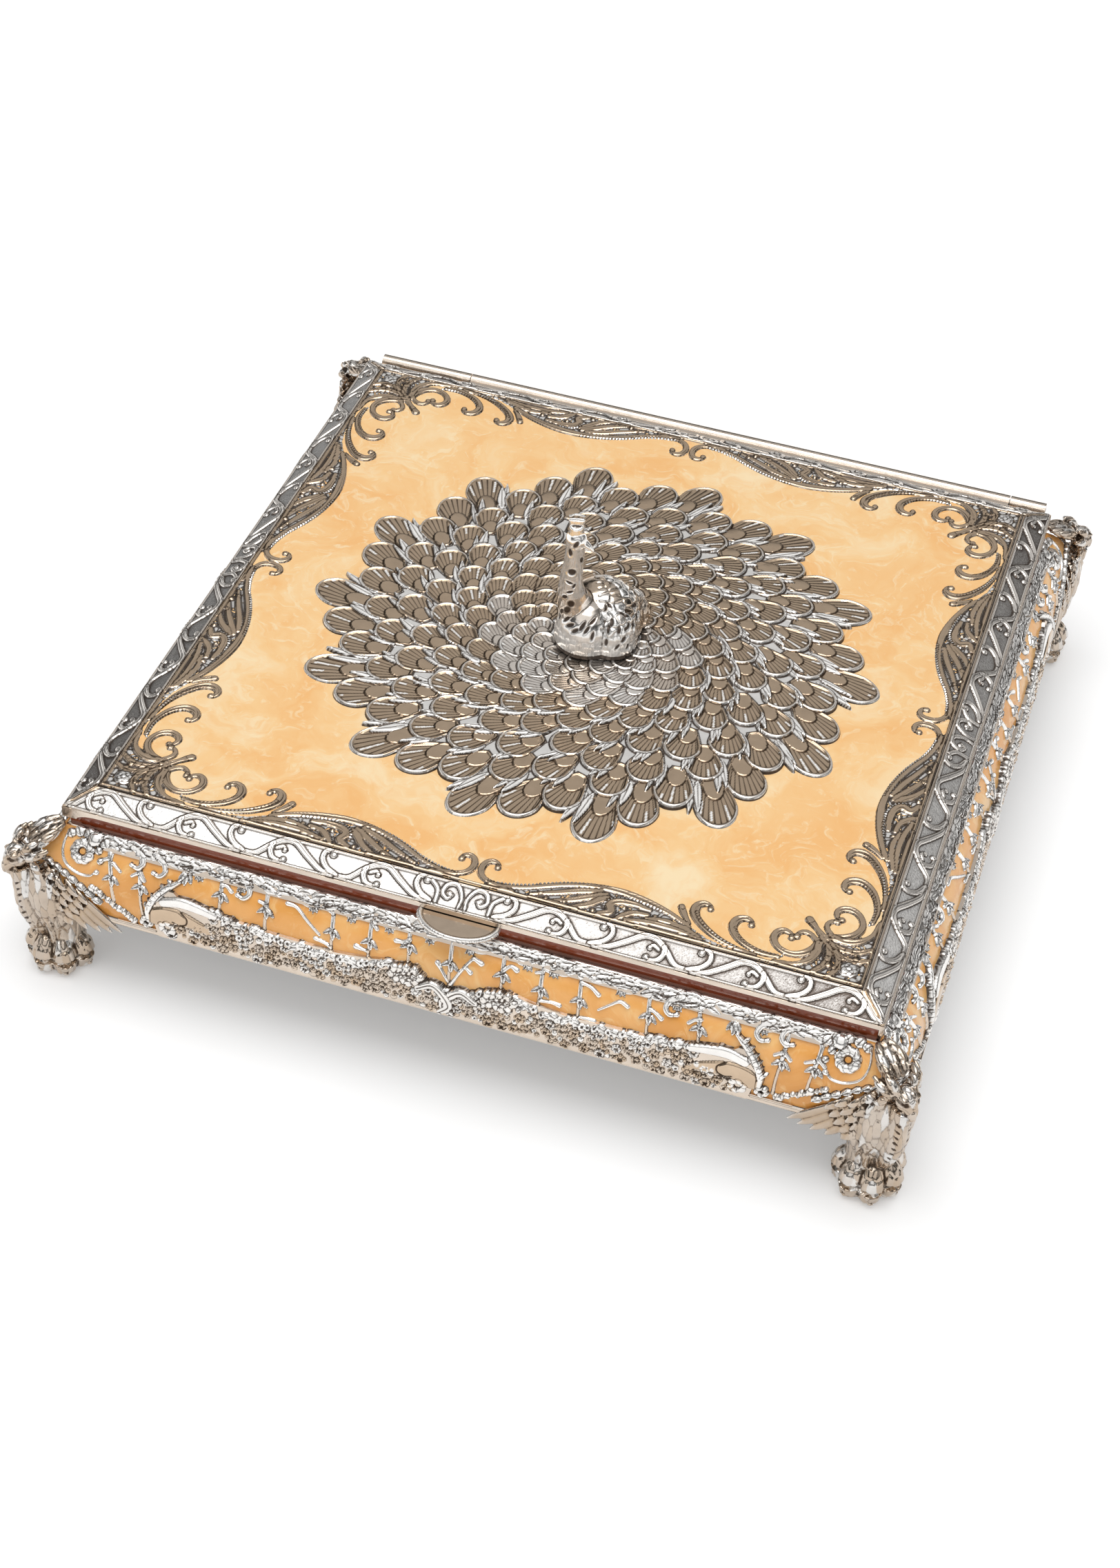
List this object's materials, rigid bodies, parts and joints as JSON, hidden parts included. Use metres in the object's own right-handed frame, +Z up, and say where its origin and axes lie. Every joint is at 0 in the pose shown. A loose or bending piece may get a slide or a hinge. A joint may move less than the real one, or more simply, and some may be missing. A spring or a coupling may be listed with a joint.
{
  "type": "square metal box",
  "caption": "Square footed metal box with a hinged lid, enamel panels, a domed feather medallion, a bird knob, clawed corner feet and a lacquered tray inside.",
  "frame": {"origin": "on the floor under the middle of the box, at the centre of the feet", "axes": "+Z up, -Y the front with the thumb tab, +Y the hinge side, +X to the right seen from the front"},
  "size_m": [0.3138, 0.3138, 0.1365],
  "materials": {
    "plated_metal": "polished warm nickel plate",
    "lid_enamel": "glossy pearl enamel, pale orange",
    "side_enamel": "glossy pearl enamel, orange",
    "lacquered_wood": "glossy red-brown lacquer",
    "steel": "plain steel"
  },
  "bodies": {
    "base": {"side_front": "plated_metal", "side_right": "plated_metal", "side_back": "plated_metal", "side_left": "plated_metal", "side_enamel_front": "side_enamel", "side_enamel_right": "side_enamel", "side_enamel_back": "side_enamel", "side_enamel_left": "side_enamel", "foot_front_left": "plated_metal", "foot_front_right": "plated_metal", "foot_back_right": "plated_metal", "foot_back_left": "plated_metal", "corner_block_front_left": "steel", "corner_block_front_right": "steel", "corner_block_back_right": "steel", "corner_block_back_left": "steel", "foot_screw_front_left": "steel", "foot_screw_front_right": "steel", "foot_screw_back_right": "steel", "foot_screw_back_left": "steel", "bottom_plate": "steel", "liner_tray": "lacquered_wood", "hinge_pin": "steel"},
    "lid": {"lid_frame": "plated_metal", "lid_panel": "plated_metal", "lid_enamel": "lid_enamel", "lid_border": "plated_metal", "medallion": "plated_metal", "knob_washer": "steel", "knob_screw": "steel", "lid_backing": "lacquered_wood", "thumb_tab": "plated_metal", "bird_knob": "plated_metal"}
  },
  "joints": [
    {"name": "lid_hinge", "type": "hinge", "parent": "base", "child": "lid", "pos_m": [0, 0.1455, 0.0676], "axis": [-1, 0, 0], "range_deg": [0, 100]}
  ]
}
